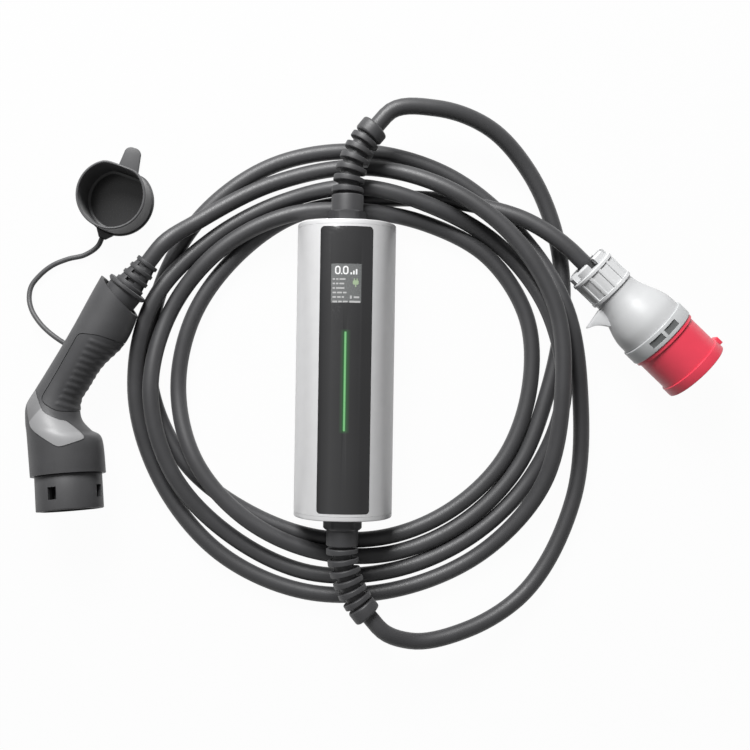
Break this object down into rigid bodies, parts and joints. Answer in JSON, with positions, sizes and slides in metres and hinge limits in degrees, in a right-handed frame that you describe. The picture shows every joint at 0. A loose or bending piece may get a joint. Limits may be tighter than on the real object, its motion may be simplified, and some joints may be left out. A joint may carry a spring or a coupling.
{
  "type": "portable electric vehicle charger",
  "caption": "Portable vehicle charger: slim silver control box with glossy front panel, coiled cables, a vehicle connector with tethered dust cap and a red supply plug.",
  "frame": {"origin": "middle of the control box's back, on the surface that it lies on", "axes": "+Y along the control box towards the supply cable's gland, +Z out of its front panel"},
  "size_m": [0.6026, 0.4678, 0.0654],
  "materials": {
    "silver_metal": "satin silver anodised or lacquered aluminium",
    "black_gloss": "polished smoked panel",
    "display_glass": "display behind a clear window",
    "light_bar": "lit translucent light guide",
    "screw_steel": "plain steel",
    "seal_rubber": "matt black rubber",
    "board": "green solder mask",
    "component_dark": "moulded component cases",
    "terminal_green": "moulded terminal block",
    "gland_black": "fine-grained black nylon",
    "relief_rubber": "matt black rubber",
    "connector_grey": "spark-eroded dark grey nylon",
    "accent_grey": "satin light grey plastic",
    "grip_rubber": "soft ribbed rubber",
    "contact_metal": "silver-plated brass",
    "cap_rubber": "matt dark grey rubber",
    "plug_red": "satin red nylon",
    "plug_ring": "satin light grey nylon",
    "plug_grey": "satin light grey nylon",
    "plug_white": "satin off-white nylon",
    "cable_jacket": "matt dark grey cable sheath"
  },
  "bodies": {
    "root": {"housing_sleeve": "silver_metal", "front_panel": "black_gloss", "display": "display_glass", "light_guide": "light_bar", "top_end_plate": "silver_metal", "bottom_end_plate": "silver_metal", "end_gaskets": "seal_rubber", "end_screws": "screw_steel", "main_board": "board", "relays": "component_dark", "current_sensor": "component_dark", "terminal_blocks": "terminal_green", "power_module": "component_dark", "top_gland_nut": "gland_black", "bottom_gland_nut": "gland_black", "top_strain_relief": "relief_rubber", "bottom_strain_relief": "relief_rubber", "connector_body": "connector_grey", "connector_accents": "accent_grey", "connector_grip": "grip_rubber", "connector_nose": "connector_grey", "contact_carrier": "gland_black", "contacts": "contact_metal", "boot_flange": "gland_black", "cable_boot": "relief_rubber", "dust_cap": "cap_rubber", "cap_strap": "cap_rubber", "plug_shroud": "plug_red", "plug_pins": "contact_metal", "pin_carrier": "component_dark", "locking_ring": "plug_ring", "plug_body": "plug_grey", "plug_nut": "plug_white", "cable_seal": "seal_rubber", "vehicle_cable": "cable_jacket", "supply_cable": "cable_jacket"}
  },
  "joints": []
}
